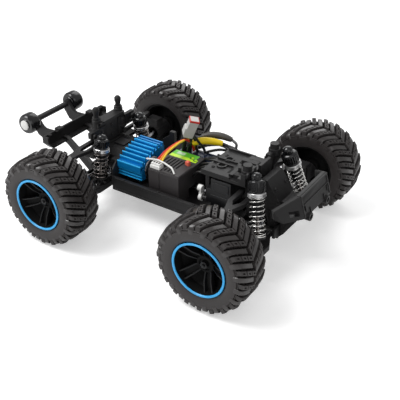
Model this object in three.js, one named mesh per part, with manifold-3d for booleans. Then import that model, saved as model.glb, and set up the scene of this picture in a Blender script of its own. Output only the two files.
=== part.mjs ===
// RC monster truck without its body shell, about 1:16 scale.
// Millimetres. +X is the front, +Y the truck's left, +Z up, and the ground is z = 0.
import * as THREE from 'three';
import { mergeVertices } from 'three/addons/utils/BufferGeometryUtils.js';
import Module from 'manifold-3d';

const wasm = await Module();
wasm.setup();

// ---- driving dimensions ----
const WHEELBASE = 174;
const TRACK = 190;
const TYRE_R = 43;
const TYRE_W = 40;
const FRONT_TIP = 137; // bumper's tow loops, ahead of the middle of the wheelbase
const REAR_TIP = -182; // back of the wheelie wheels
const GAP = 0.35; // between touching pieces

const RIM_R = 25;
const SPOKES = 5;
const LIP_Y = 18; // rim lip, outboard of the wheel's middle
const TUB_BOTTOM = 28;
const TUB_TOP = 43;
const TUB_HALF_W = 35;
const TUB_REAR = -65;
const TUB_FRONT = 64.5;
const SHAFT_Z = 36; // centre shaft and differentials

// suspension: hinge lines run along X, a parallelogram on each corner
const INNER_Y = 16;
const LOWER_Z = 30;
const OUTER_Y = 62;
const OUTER_DROP = 2; // the arms slope down to their outer ends at rest
const UPPER_Z = 64;
const KINGPIN_Y = 64;

// reduction gears
const GEAR_MODULE = 1;
const PINION_TEETH = 10;
const SPUR_TEETH = 22;
const RING_R = 11;
const BEVEL_R = 4.4;
const MOTOR_Y = -9;
const MOTOR_R = 11.4;

// ---- derived values ----
const AXLE_X = WHEELBASE / 2;
const HUB_Z = TYRE_R;
const WHEEL_Y = TRACK / 2;
const CENTRE_SHIFT = -(FRONT_TIP + REAR_TIP) / 2; // puts the origin under the middle of the whole length
const LOWER_OUT_Z = LOWER_Z - OUTER_DROP;
const UPPER_OUT_Z = UPPER_Z - OUTER_DROP;
const GEAR_DISTANCE = (GEAR_MODULE * (PINION_TEETH + SPUR_TEETH)) / 2;
const MOTOR_Z = SHAFT_Z + Math.sqrt(GEAR_DISTANCE ** 2 - MOTOR_Y ** 2);

const BLACK = 0x17181a;
const COLOURS = {
  plastic: [BLACK, 0.6, 0],
  rubber: [0x2b2827, 0.85, 0],
  steel: [0xb8babd, 0.3, 1],
  spring: [0xc9cbcc, 0.25, 1],
  blue: [0x1370c4, 0.35, 0.8],
  brass: [0xc9a24b, 0.35, 1],
  white: [0xe9e9e6, 0.5, 0],
  red: [0xe8604f, 0.5, 0],
};

// ---- shape helpers ----
function solidOf(geometry) {
  const bare = geometry.clone();
  bare.deleteAttribute('normal');
  bare.deleteAttribute('uv');
  const merged = mergeVertices(bare, 1e-4);
  const vertProperties = new Float32Array(merged.attributes.position.array);
  const triVerts = new Uint32Array(merged.index.array);
  return new wasm.Manifold(new wasm.Mesh({ numProp: 3, vertProperties, triVerts }));
}

function geometryOf(solid) {
  const mesh = solid.getMesh();
  const geometry = new THREE.BufferGeometry();
  geometry.setAttribute('position', new THREE.BufferAttribute(mesh.vertProperties, 3));
  geometry.setIndex(new THREE.BufferAttribute(mesh.triVerts, 1));
  geometry.computeVertexNormals();
  return geometry;
}

const join = (...shapes) => geometryOf(shapes.map(solidOf).reduce((whole, next) => whole.add(next)));
const cut = (shape, ...tools) =>
  geometryOf(tools.map(solidOf).reduce((whole, tool) => whole.subtract(tool), solidOf(shape)));

// A box between two x, two y and two z values.
function box(x0, x1, y0, y1, z0, z1) {
  const geometry = new THREE.BoxGeometry(x1 - x0, y1 - y0, z1 - z0);
  return geometry.translate((x0 + x1) / 2, (y0 + y1) / 2, (z0 + z1) / 2);
}

// Turns a shape drawn along +Z from z = 0 so that it starts at `from` and points to `to`.
function aim(geometry, from, to) {
  const direction = new THREE.Vector3(...to).sub(new THREE.Vector3(...from)).normalize();
  const turn = new THREE.Quaternion().setFromUnitVectors(new THREE.Vector3(0, 0, 1), direction);
  return geometry.applyQuaternion(turn).translate(...from);
}

// A round solid of revolution about the line from `from` to `to`; points are [radius, distance].
function turned(points, from, to, segments = 16) {
  const outline = points.map(([r, s]) => new THREE.Vector2(r, s));
  return aim(new THREE.LatheGeometry(outline, segments).rotateX(Math.PI / 2), from, to);
}

function rod(from, to, radius, segments = 10) {
  const length = new THREE.Vector3(...from).distanceTo(new THREE.Vector3(...to));
  return turned([[0, 0], [radius, 0], [radius, length], [0, length]], from, to, segments);
}

const hullOf = (points) => geometryOf(wasm.Manifold.hull(points));

function shapeOf(points) {
  return new THREE.Shape(points.map(([a, b]) => new THREE.Vector2(a, b)));
}

// Outlines given as [x, y], [x, z] or [y, z], pulled between two values of the third axis.
const slabZ = (points, z0, z1) =>
  new THREE.ExtrudeGeometry(shapeOf(points), { depth: z1 - z0, bevelEnabled: false }).translate(0, 0, z0);
const slabY = (points, y0, y1) =>
  new THREE.ExtrudeGeometry(shapeOf(points), { depth: y1 - y0, bevelEnabled: false })
    .rotateX(Math.PI / 2)
    .translate(0, y1, 0);
function slabX(points, x0, x1) {
  const geometry = new THREE.ExtrudeGeometry(shapeOf(points), { depth: x1 - x0, bevelEnabled: false });
  return geometry.rotateX(Math.PI / 2).rotateZ(Math.PI / 2).translate(x0, 0, 0);
}

// A closed bar of round section along a smooth line through the given points.
function sweep(curve, radius, steps, sides) {
  const section = new THREE.Shape();
  for (let i = 0; i < sides; i += 1) {
    const angle = (2 * Math.PI * i) / sides;
    const corner = [radius * Math.cos(angle), radius * Math.sin(angle)];
    if (i === 0) section.moveTo(...corner);
    else section.lineTo(...corner);
  }
  return new THREE.ExtrudeGeometry(section, { steps, extrudePath: curve, bevelEnabled: false });
}

// The same shape on the truck's other side.
function onSide(geometry, side) {
  if (side > 0) return geometry;
  const solid = solidOf(geometry).mirror([0, 1, 0]);
  return geometryOf(solid);
}

// A toothed wheel's outline: straight-flanked teeth with room for backlash.
function gearOutline(teeth, phase) {
  const pitch = (GEAR_MODULE * teeth) / 2;
  const corners = [[-0.25, -0.9], [-0.11, 0.55], [0.11, 0.55], [0.25, -0.9]];
  const points = [];
  for (let tooth = 0; tooth < teeth; tooth += 1) {
    for (const [share, height] of corners) {
      const angle = phase + (2 * Math.PI * (tooth + share)) / teeth;
      const radius = pitch + height * GEAR_MODULE;
      points.push([radius * Math.cos(angle), radius * Math.sin(angle)]);
    }
  }
  return points;
}

const truck = new THREE.Group();
truck.position.x = CENTRE_SHIFT;

function piece(name, geometry, look) {
  const [color, roughness, metalness] = COLOURS[look];
  const mesh = new THREE.Mesh(geometry, new THREE.MeshStandardMaterial({ color, roughness, metalness }));
  mesh.name = name;
  truck.add(mesh);
}

// ---- wheels ----
function tyre(x, side) {
  const half = TYRE_W / 2;
  const inner = RIM_R + GAP;
  const profile = [
    [inner, -15], [33, -half], [39, -half + 1], [TYRE_R, -11], [TYRE_R, 11], [39, half - 1], [33, half],
    [inner, 15], [inner, -15],
  ];
  return turned(profile, [x, side * WHEEL_Y, HUB_Z], [x, side * (WHEEL_Y + 1), HUB_Z], 24);
}

// Deep-dished rim with five openings, made in one with its stub axle and drive cup.
// A closed dish with a drive cup behind it and five spokes, each a pair of ribs, on its face.
function rim(x, side, cupY, phase) {
  const cup = cupY - WHEEL_Y;
  const profile = [
    [0, cup + 7], [5.2, cup + 7], [5.2, cup], [6.3, cup], [6.3, cup + 9], [2.6, cup + 9.5], [2.6, -12],
    [7, -6], [22.6, 4], [22.6, -16], [RIM_R, -16], [RIM_R, LIP_Y], [23.2, LIP_Y], [21, 7.5], [8, -1],
    [6, 3], [0, 3],
  ];
  const body = turned(profile, [x, side * WHEEL_Y, HUB_Z], [x, side * (WHEEL_Y + 1), HUB_Z], 16);
  const ribs = [];
  for (let i = 0; i < SPOKES; i += 1) {
    for (const middle of [-3.4, 3.4]) {
      const rib = slabX([[-3, 7.5], [1.5, 7.5], [11.1, 22.2], [5.5, 22.2]], middle - 0.65, middle + 0.65);
      rib.rotateY(phase + (2 * Math.PI * i) / SPOKES);
      ribs.push(onSide(rib.translate(x, WHEEL_Y, HUB_Z), side));
    }
  }
  return join(body, ...ribs);
}

// ---- suspension ----
const ARM_LEG = [8, 14.6]; // the inner barrels' span, each side of the axle line

function lowerArm(x, mount) {
  const [mx, my] = mount;
  const plate = slabZ(
    [[-14.6, INNER_Y + 1], [-14.6, 30], [-10, 57], [10, 57], [Math.max(14.6, mx - x + 7), my + 8],
      [Math.max(14.6, mx - x + 7), my - 8], [14.6, INNER_Y + 4], [14.6, INNER_Y + 1]],
    LOWER_Z - 3.6, LOWER_Z + 1.6,
  ).translate(x, 0, 0);
  const lug = (a, b) => box(x + a, x + b, 55, OUTER_Y + 3, LOWER_OUT_Z - 2.8, LOWER_OUT_Z + 2.8);
  const barrel = (a, b) => rod([x + a, INNER_Y, LOWER_Z], [x + b, INNER_Y, LOWER_Z], 3, 12);
  const [near, far] = ARM_LEG;
  return cut(
    join(plate, lug(6.9, 10), lug(-10, -6.9), barrel(near, far), barrel(-far, -near)),
    box(x - 7.7, x + 7.7, 10, 23, 20, 40),
    box(x - 7.5, x - 2, 32, 50, 20, 40),
    box(mx - 6.8, mx + 4.8, my - 5.4, my + 5.4, 20, 40),
    rod([x - 20, INNER_Y, LOWER_Z], [x + 20, INNER_Y, LOWER_Z], 1.6, 10),
  );
}

// A two-legged upper arm; the legs stand either side of the tower.
function upperArm(legs) {
  const outline = ([a, b], [c, d]) => [[a, INNER_Y], [a, 40], [c, 52], [c, OUTER_Y - 4], [d, OUTER_Y - 4],
    [d, 52], [b, 40], [b, INNER_Y]];
  const middle = (legs[0][0] + legs[1][1]) / 2;
  const bars = legs.map((leg) => slabZ(outline(leg, [middle - 4, middle + 4]), UPPER_Z - 1.8, UPPER_Z + 1.8));
  const barrels = legs.map(([a, b]) => rod([a, INNER_Y, UPPER_Z], [b, INNER_Y, UPPER_Z], 2.8, 12));
  const neck = upright(middle, OUTER_Y - 5, OUTER_Y + 1.5, UPPER_OUT_Z - 1.5, UPPER_OUT_Z + 3, 2.2);
  return join(...bars, ...barrels, neck);
}

const upright = (x, y0, y1, z0, z1, half) => box(x - half, x + half, y0, y1, z0, z1);

function rearHub(x) {
  const block = upright(x, 60, 70, LOWER_OUT_Z + 3, UPPER_OUT_Z - 3, 6.5);
  const barrel = rod([x - 6.5, OUTER_Y, LOWER_OUT_Z], [x + 6.5, OUTER_Y, LOWER_OUT_Z], 2.8, 12);
  const foot = upright(x, 60.4, 63.6, LOWER_OUT_Z, LOWER_OUT_Z + 5, 6.5);
  const bearing = rod([x, 60, HUB_Z], [x, 81, HUB_Z], 8.5, 12);
  const bore = turned([[0, -1], [7.2, -1], [7.2, 13], [3, 13], [3, 30], [0, 30]],
    [x, 60, HUB_Z], [x, 90, HUB_Z], 12);
  return cut(join(block, barrel, foot, bearing), bore);
}

// Front C-shaped hub: two ears hold the knuckle on an upright kingpin line.
function frontHub(x) {
  const barrel = rod([x - 6.5, OUTER_Y, LOWER_OUT_Z], [x + 6.5, OUTER_Y, LOWER_OUT_Z], 2.8, 12);
  const foot = upright(x, 60.4, 68.5, LOWER_OUT_Z - 1, LOWER_OUT_Z + 4, 6.5);
  const top = upright(x, 57.4, 68.5, UPPER_OUT_Z - 6, UPPER_OUT_Z - 3.2, 6.5);
  const back = cut(
    upright(x, 54.4, 57.6, LOWER_OUT_Z + 7.5, UPPER_OUT_Z - 3.2, 8),
    rod([x, 50, HUB_Z], [x, 60, HUB_Z], 7.2, 16),
  );
  const heel = upright(x, 54.4, 61, LOWER_OUT_Z + 4.4, LOWER_OUT_Z + 7.6, 6.5);
  const shin = upright(x, 59.6, 61, LOWER_OUT_Z, LOWER_OUT_Z + 7, 6.5);
  return join(barrel, foot, top, back, heel, shin);
}

function knuckle(x) {
  const z0 = LOWER_OUT_Z + 4.4;
  const z1 = UPPER_OUT_Z - 6.4;
  const block = upright(x, KINGPIN_Y - 2.5, 70, z0 + 4, z1, 8.2);
  const boss = rod([x, KINGPIN_Y, z0], [x, KINGPIN_Y, z0 + 6], 2.6, 12);
  const bearing = rod([x, KINGPIN_Y, HUB_Z], [x, 81, HUB_Z], 8.5, 12);
  const arm = box(x - 21, x - 6, 62.5, 66, z1 - 4, z1);
  const bore = turned([[0, -4], [7, -4], [7, 9], [3, 9], [3, 30], [0, 30]],
    [x, KINGPIN_Y, HUB_Z], [x, 90, HUB_Z], 12);
  return cut(join(block, boss, bearing, arm), bore);
}

function tieRod(side) {
  const x = AXLE_X - 19;
  const z = UPPER_OUT_Z - 15;
  const bar = turned(
    [[0, 0], [3, 0], [3, 5], [1.3, 6], [1.3, 42], [3, 43], [3, 48], [0, 48]],
    [x, 17, z], [x, 70, z], 10,
  );
  return onSide(bar, side);
}

// Driveshaft with a ball at each end.
function dogbone(x, outer) {
  const from = [x, INNER_Y - 3, SHAFT_Z];
  const length = Math.hypot(outer - from[1], HUB_Z - SHAFT_Z);
  const profile = [[0, -2.6], [1.8, -2.2], [2.6, 0], [1.6, 2], [1.6, length - 2], [2.6, length],
    [1.8, length + 2.2], [0, length + 2.6]];
  return turned(profile, from, [x, outer, HUB_Z], 12);
}

// ---- shock absorbers ----
// Distances run from the cap's top down the shock's own line.
const FRONT_SHOCK = {
  top: [88.5, 27, 91.5], foot: [103, 45, 29.5],
  eyeR: 4.6, neck: 6, cap: 15.5, capR: 7.6, collar: 17, collarR: 8.2,
  tubeEnd: 38, tubeR: 5, spring: 7.3, wire: 0.75, cup: 55, eye: 3.4, rodTop: 27, turns: 9.5,
};
const REAR_SHOCK = {
  top: [-79, 28.5, 80.5], foot: [-79, 36.8, 29],
  eyeR: 4.6, neck: 4, cap: 12, capR: 7, collar: 13.5, collarR: 7.8,
  tubeEnd: 30, tubeR: 4.3, spring: 7, wire: 0.7, cup: 42.5, eye: 3, rodTop: 23, turns: 8,
};

function shockBody(s) {
  const bore = 2.3;
  return turned([
    [0, 0], [s.eyeR - 1, 0], [s.eyeR, 1], [s.eyeR, s.neck], [s.capR - 0.6, s.neck], [s.capR, s.neck + 0.8],
    [s.capR, s.cap], [s.tubeR + 1, s.cap + 1], [s.tubeR + 1, s.collar],
    [s.collarR, s.collar], [s.collarR, s.collar + 3.5], [s.tubeR, s.collar + 3.5], [s.tubeR, s.tubeEnd],
    [bore, s.tubeEnd], [bore, s.cap + 2], [0, s.cap + 2],
  ], s.top, s.foot, 12);
}

function shockRod(s) {
  const length = new THREE.Vector3(...s.top).distanceTo(new THREE.Vector3(...s.foot));
  return turned([
    [0, s.rodTop], [1.5, s.rodTop], [1.5, s.cup], [s.spring - 0.2, s.cup], [s.spring - 0.2, s.cup + 2],
    [1.5, s.cup + 2.5], [1.5, length - 3], [s.eye, length - 1.5], [s.eye, length + 1.5],
    [1.2, length + s.eye], [0, length + s.eye],
  ], s.top, s.foot, 10);
}

class Helix extends THREE.Curve {
  constructor(radius, start, end, turns) {
    super();
    Object.assign(this, { radius, start, end, turns });
  }

  getPoint(t, target = new THREE.Vector3()) {
    const angle = 2 * Math.PI * this.turns * t;
    const height = this.start + (this.end - this.start) * t;
    return target.set(this.radius * Math.cos(angle), this.radius * Math.sin(angle), height);
  }
}

function shockSpring(s) {
  const start = s.collar + 3.5 + s.wire + GAP;
  const end = s.cup - s.wire - GAP;
  const helix = new Helix(s.spring - s.wire, start, end, s.turns);
  return aim(sweep(helix, s.wire, s.turns * 6, 4), s.top, s.foot);
}

for (const [end, x, shock] of [['front', AXLE_X, FRONT_SHOCK], ['rear', -AXLE_X, REAR_SHOCK]]) {
  const isFront = end === 'front';
  const cupY = isFront ? 62 : 61;
  const phase = THREE.MathUtils.degToRad(isFront ? 160 : 180);
  const legs = isFront ? [[69, 74], [81, 85.6]] : [[-101, -96.4], [-90.6, -87.2]];
  for (const [sideName, side] of [['left', 1], ['right', -1]]) {
    const corner = `${end}_${sideName}`;
    piece(`tyre_${corner}`, tyre(x, side), 'rubber');
    piece(`rim_${corner}`, rim(x, side, cupY, phase), 'plastic');
    piece(`driveshaft_${corner}`, onSide(dogbone(x, 65), side), 'steel');
    piece(`lower_arm_${corner}`, onSide(lowerArm(x, shock.foot), side), 'plastic');
    piece(`upper_arm_${corner}`, onSide(upperArm(legs), side), 'plastic');
    piece(`hub_carrier_${corner}`, onSide(isFront ? frontHub(x) : rearHub(x), side), 'plastic');
    piece(`shock_body_${corner}`, onSide(shockBody(shock), side), 'plastic');
    piece(`shock_rod_${corner}`, onSide(shockRod(shock), side), 'steel');
    piece(`shock_spring_${corner}`, onSide(shockSpring(shock), side), 'spring');
    if (isFront) {
      piece(`steering_knuckle_${sideName}`, onSide(knuckle(x), side), 'plastic');
      piece(`tie_rod_${sideName}`, tieRod(side), 'steel');
    }
  }
}

// ---- drive train ----
// A round part about the differential's line: ring gear on one side and a cup at each end.
function differential(x, ringSide) {
  const profile = [
    [0, -8.1], [5, -8.1], [5, -17], [6.2, -17], [6.2, -8.6], [8, -8.6], [8, 5.6], [RING_R + 0.6, 5.6],
    [RING_R + 0.6, 7], [9, 8.6], [6.2, 8.6], [6.2, 17], [5, 17], [5, 8.1], [0, 8.1],
  ];
  return turned(profile, [x, 0, SHAFT_Z], [x, ringSide, SHAFT_Z], 12);
}

function centreShaft() {
  const tip = AXLE_X - 8.4;
  const profile = [
    [0, -tip], [3.2, -tip], [BEVEL_R, -tip + 2.5], [2.5, -tip + 3],
    [2.5, tip - 3], [BEVEL_R, tip - 2.5], [3.2, tip], [0, tip],
  ];
  const shaft = turned(profile, [0, 0, SHAFT_Z], [1, 0, SHAFT_Z], 12);
  const spur = slabX(gearOutline(SPUR_TEETH, 0), -70.5, -68).translate(0, 0, SHAFT_Z);
  return join(shaft, spur);
}

function motorPinion() {
  const towardsMotor = Math.atan2(MOTOR_Z - SHAFT_Z, MOTOR_Y);
  const toothShare = ((towardsMotor * SPUR_TEETH) / (2 * Math.PI)) % 1; // of a pitch, past a spur tooth
  const phase = towardsMotor + Math.PI + ((toothShare + 0.5) * 2 * Math.PI) / PINION_TEETH;
  const wheel = slabX(gearOutline(PINION_TEETH, phase), -70.8, -67.7).translate(0, MOTOR_Y, MOTOR_Z);
  return join(wheel, rod([-71, MOTOR_Y, MOTOR_Z], [-55, MOTOR_Y, MOTOR_Z], 1.1, 10));
}

function motor() {
  const profile = [
    [0, 9], [1.6, 9], [1.6, -1.5], [4, -1.5], [4, 0], [MOTOR_R - 1, 0], [MOTOR_R, 1], [MOTOR_R, 26],
    [MOTOR_R - 1, 27], [0, 27],
  ];
  return turned(profile, [-62, MOTOR_Y, MOTOR_Z], [0, MOTOR_Y, MOTOR_Z], 16);
}

// Finned saddle over the motor: upright fins step down towards the truck's right.
function heatSink() {
  const tops = [[9, 68.6], [4.6, 68.7], [0.1, 68.4], [-4.8, 67.3], [-9.4, 65.8], [-13.8, 64], [-17.5, 62.7],
    [-22, 60.2]];
  const fin = 0.9;
  const depth = 3.2;
  const outline = [[11, 50], [11, 64]];
  for (const [y, z] of tops) {
    outline.push([y + fin, z - depth], [y + fin, z], [y - fin, z], [y - fin, z - depth]);
  }
  outline.push([-23.4, 57.5], [-26, 57.5], [-26, 55.7], [-23.4, 55.7]);
  for (const z of [51.2, 48, 44.8]) {
    outline.push([-23.4, z + 0.8], [-26, z + 0.8], [-26, z - 0.8], [-23.4, z - 0.8]);
  }
  outline.push([-23.4, 41.5], [-20, 41.5]);
  for (let i = 0; i <= 12; i += 1) {
    const angle = Math.PI * (1.15 - (1.15 * i) / 12);
    outline.push([
      MOTOR_Y + (MOTOR_R + GAP) * Math.cos(angle),
      MOTOR_Z + (MOTOR_R + GAP) * Math.sin(angle),
    ]);
  }
  return slabX(outline, -63, -35.5);
}

// ---- chassis ----
function tub() {
  const outline = (inset, back, front) => [
    [back, inset - TUB_HALF_W], [45, inset - TUB_HALF_W], [front, inset - 28], [front, 28 - inset],
    [45, TUB_HALF_W - inset], [back, TUB_HALF_W - inset],
  ];
  const shell = cut(
    slabZ(outline(0, TUB_REAR, TUB_FRONT), TUB_BOTTOM, TUB_TOP),
    slabZ(outline(2, TUB_REAR + 2, TUB_FRONT - 2), TUB_BOTTOM + 2, TUB_TOP + 5),
  );
  const batteryPost = slabY(
    [[-52, 29], [-52, 55], [-48, 61.5], [-40, 67.5], [-39.5, 72], [-34, 72], [-33.5, 29]], 26, 30,
  );
  const rail = (side) => box(-60, 40, side > 0 ? 33 : -36.4, side > 0 ? 36.4 : -33, TUB_TOP - 2.6, TUB_TOP);
  return cut(
    join(shell, rail(1), rail(-1), batteryPost),
    box(TUB_REAR - 3, TUB_REAR + 4, -13, 8, TUB_BOTTOM + 3, TUB_TOP + 4),
    box(TUB_FRONT - 4, TUB_FRONT + 3, -4, 4, TUB_BOTTOM + 4, TUB_TOP + 4),
  );
}

// A hollow gearbox about one axle, with ears that carry the lower arms' hinge pins.
function gearbox(x, towards, extra, hollow) {
  const z0 = 22;
  const z1 = 51;
  const outer = box(x - 15, x + 15, -12.6, 12.6, z0, z1);
  const ears = [];
  for (const dx of [-17.7, 15.2]) {
    ears.push(box(x + dx, x + dx + 2.5, -18.6, 18.6, LOWER_Z - 5, LOWER_Z + 5));
    ears.push(box(x + Math.min(dx, 13), x + Math.max(dx + 2.5, -13), -12.6, 12.6, LOWER_Z - 8, LOWER_Z + 5));
  }
  const pins = [1, -1].map((s) =>
    rod([x - 17, s * INNER_Y, LOWER_Z], [x + 17, s * INNER_Y, LOWER_Z], 1.3, 10));
  return cut(
    join(outer, ...ears, ...pins, ...extra),
    box(x - 12.6, x + 12.6, -10.6, 10.6, z0 + 1.6, z1 - 2),
    rod([x, -20, SHAFT_Z], [x, -9, SHAFT_Z], 6.8, 16),
    rod([x, 9, SHAFT_Z], [x, 20, SHAFT_Z], 6.8, 16),
    rod([x, 0, SHAFT_Z], [x + towards * 24, 0, SHAFT_Z], 5, 12),
    ...hollow,
  );
}

function rearGearbox() {
  const spurRoom = join(
    rod([-71.3, 0, SHAFT_Z], [-66.6, 0, SHAFT_Z], 12.4, 20),
    rod([-71.3, MOTOR_Y, MOTOR_Z], [-60, MOTOR_Y, MOTOR_Z], 6.1, 14),
  );
  const spurCase = box(-72.1, -65.6, -15.6, 14.6, 22, 58);
  const deck = slabX([[-21, 51], [21, 51], [21, 57], [15, 60], [-15, 60], [-21, 57]], -102, -65.6);
  const bracket = slabX([[-30, 50], [-21, 56], [-21, 51], [-27, 46]], -74, -67);
  const wings = join(box(-102, -87.6, 20, 33.5, 53.5, 57), box(-70.6, -65.6, 20, 28, 53.5, 57));
  return gearbox(-AXLE_X, 1, [spurCase, deck, bracket, onSide(bracket, -1), wings, onSide(wings, -1)], [
    spurRoom,
    rod([-66, 0, SHAFT_Z], [-60, 0, SHAFT_Z], 3, 12),
    box(-103, -83, 13, 25, UPPER_Z - 5, UPPER_Z + 5),
    box(-103, -83, -25, -13, UPPER_Z - 5, UPPER_Z + 5),
  ]);
}

// Upright panel with the two body posts on stepped sockets and a ledge along its top.
function rearTower() {
  const panel = box(-96, -91, -20, 20, 60.4, 84);
  const ledge = box(-99, -89, -18, 18, 82, 84.5);
  const parts = [panel, ledge];
  for (const side of [1, -1]) {
    const y = side * 16.6;
    parts.push(turned(
      [[0, 68.5], [6.5, 68.5], [6.5, 77], [4.6, 79], [4.6, 87], [2.7, 88], [2.7, 93], [3.4, 95], [3.4, 98],
        [1.8, 99.8], [0, 99.8]],
      [-95.6, y, 0], [-95.6, y, 1], 10,
    ));
    parts.push(slabX([[side * 19, 68.5], [side * 19, 80], [side * 33, 80], [side * 33, 74]], -93, -89));
    parts.push(rod([-90, side * 29, 75.5], [-86.4, side * 29, 75.5], 3, 12));
  }
  return join(...parts);
}

// Front tower carrying the shocks and post stubs, with the upper deck behind it.
function frontTower() {
  const plate = box(75.5, 80.3, -22, 22, 51.4, 84);
  const deck = box(30, 76, -24, 24, 71, 74);
  const spine = box(66, 76, -12, 12, 51.4, 73);
  const parts = [plate, deck, spine];
  for (const side of [1, -1]) {
    const y = side * 23.7;
    parts.push(slabX([[side * 12, 70], [side * 12, 88], [side * 31, 88], [side * 31, 76]], 75.5, 80.3));
    parts.push(rod([78, y, 87], [78, y, 94.5], 4.15, 16));
    parts.push(box(62, 76, side > 0 ? 14 : -20, side > 0 ? 20 : -14, 70, 78));
    parts.push(box(31, 35, side > 0 ? 12 : -17, side > 0 ? 17 : -12, TUB_TOP + 0.4, 72));
  }
  return cut(
    join(...parts),
    ...[1, -1].map((s) => rod([41.8, s * 6.5, 68], [41.8, s * 6.5, 76], 3, 14)),
    ...[1, -1].map((s) => box(52, 56, s * 10.3 - 4, s * 10.3 + 4, 70, 75)),
    box(67.5, 75.2, -26, 26, UPPER_Z - 3.5, UPPER_Z + 3.5),
  );
}

const BUMPER = { low: [135, 60.6], high: [129, 80.5], half: 24.5, thick: 3.6 };

// Sloping bulkhead on top of the front gearbox, between the shocks.
const nose = () => slabY([[86.2, 50], [86.2, 78], [92, 78], [104.8, 60], [104.8, 50]], -13.5, 13.5);

// Bumper face that leans back, with swept wings, on a wedge that rises from the gearbox.
function frontBumper() {
  const { low, high, half, thick } = BUMPER;
  const face = slabY([low, high, [high[0] - thick, high[1]], [low[0] - thick, low[1]]], -half, half);
  const wedge = slabY([[105.2, 23], [109, 27], [131.5, 61.2], [131, 64], [109, 60], [105.2, 60]], -10, 10);
  const groove = slabY([[132.2, 72.6], [130.2, 78.6], [137, 78.6], [137, 72.6]], -21, 21);
  const parts = [face, wedge];
  const holes = [groove];
  for (const side of [1, -1]) {
    const outer = [
      [high[0], half, high[1]], [low[0], half, low[1]], [122.5, 39, 59], [115.3, 42, 62], [114.3, 42, 69.5],
    ];
    const inner = outer.map(([x, y, z]) => [x - 3, y - 1.6, z]);
    parts.push(onSide(hullOf([...outer, ...inner]), side));
    holes.push(onSide(box(110, 140, half + 2.6, half + 9.4, 63.6, 68.6), side));
    parts.push(rod([131, side * 16.4, 59], [FRONT_TIP, side * 16.4, 59], 3.8, 14));
    holes.push(rod([135.2, side * 16.4, 59], [140, side * 16.4, 59], 2.3, 12));
    holes.push(box(126, 140, side * (half - 2) - 1.5, side * (half - 2) + 1.5, 67, 71.5));
  }
  return cut(join(...parts), ...holes);
}

// Wheelie bar: a leg from the gearbox to a wide channel beam, then two cranked arms and a cross tube.
const WHEELIE = { x: -171.7, y: 32.4, z: 69.5, radius: 10.3, width: 13.6 };

function wheelieBar() {
  const { x, y, z, width } = WHEELIE;
  const beam = cut(
    slabX([[-44.5, 60], [-38, 53], [38, 53], [44.5, 60], [44.5, 67], [-44.5, 67]], -143.5, -136),
    slabX([[-42.5, 61], [-37, 55], [37, 55], [42.5, 61], [42.5, 70], [-42.5, 70]], -141.5, -130),
  );
  const parts = [beam, box(-107.5, -105.2, -18.6, 18.6, 24, 36)];
  for (const side of [1, -1]) {
    const inner = side * (y - width / 2 - 4.4);
    const outer = inner + side * 4;
    const arm = [[-142, 53.5], [-142, 63], [-159.5, 62.4], [-163, 64.4], [x + 4.2, z + 1], [x + 2, z + 4],
      [x - 2, z + 4], [x - 4.2, z], [-175, 63], [-169, 54], [-162.5, 51.4]];
    parts.push(slabY(arm, Math.min(inner, outer), Math.max(inner, outer)));
    parts.push(box(-143.5, -137, Math.min(inner, outer) - 1.5, Math.max(inner, outer) + 1.5, 66.6, 69.2));
    parts.push(rod([x, inner, z], [x, side * (y + width / 2 + 1), z], 2, 12));
    parts.push(rod([x, side * (y + width / 2 + 0.4), z], [x, side * (y + width / 2 + 1.4), z], 3.2, 12));
    const leg = [[-105.6, 24], [-105.6, 35], [-136, 57], [-142.5, 57], [-142.5, 53], [-136, 50]];
    parts.push(slabY(leg, side * 16.4 - 2.2, side * 16.4 + 2.2));
  }
  parts.push(rod([x, -y + 8, z], [x, y - 8, z], 3, 12));
  return join(...parts);
}

function wheelieWheel(side) {
  const { x, y, z, radius, width } = WHEELIE;
  const half = width / 2;
  const profile = [
    [2.3, -half], [6, -half], [radius - 1.5, -half + 0.6], [radius, -half + 3],
    [radius, half - 3], [radius - 1.5, half - 0.6], [6, half], [2.3, half], [2.3, -half],
  ];
  return turned(profile, [x, side * y, z], [x, side * (y + 1), z], 16);
}

// ---- electrics ----
const RADIO = { x0: -26, x1: 8, y0: -27, y1: 18, z0: 40, z1: 60 };
const BUTTON = { x: 1.5, y: -2.2, half: 1.9, proud: 4.2, sunk: 1.8 };

function radioBox() {
  const { x0, x1, y0, y1, z0, z1 } = RADIO;
  const b = BUTTON;
  const wide = b.half + GAP;
  return cut(
    join(
      box(x0, x1, y0, y1, z0, z1),
      box(x0, x1, y0, -10, 30.4, z0 + 1),
      box(x0, x1, 8, y1, 30.4, z0 + 1),
    ),
    box(b.x - wide, b.x + wide, b.y - wide, b.y + wide, z1 - b.sunk - 1.6, z1 + 1),
  );
}

function servo() {
  const body = box(41, 62, -24, 12, 33, 69);
  const root = box(36, 42, -24, 12, 44, 58);
  const output = rod([30.6, -24 + 4, 44], [40, -24 + 4, 44], 2.6, 12);
  const keepClear = box(40, 65, -5, 5, 30, 41.5);
  return cut(join(body, root, output), keepClear);
}

function servoArm() {
  const hub = rod([27, -20, 44], [30.2, -20, 44], 4, 14);
  const lever = box(27, 29.4, -22, -18, 44, 54);
  const ball = rod([25.5, -20, 53], [30, -20, 53], 3, 12);
  return join(hub, lever, ball);
}

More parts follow.
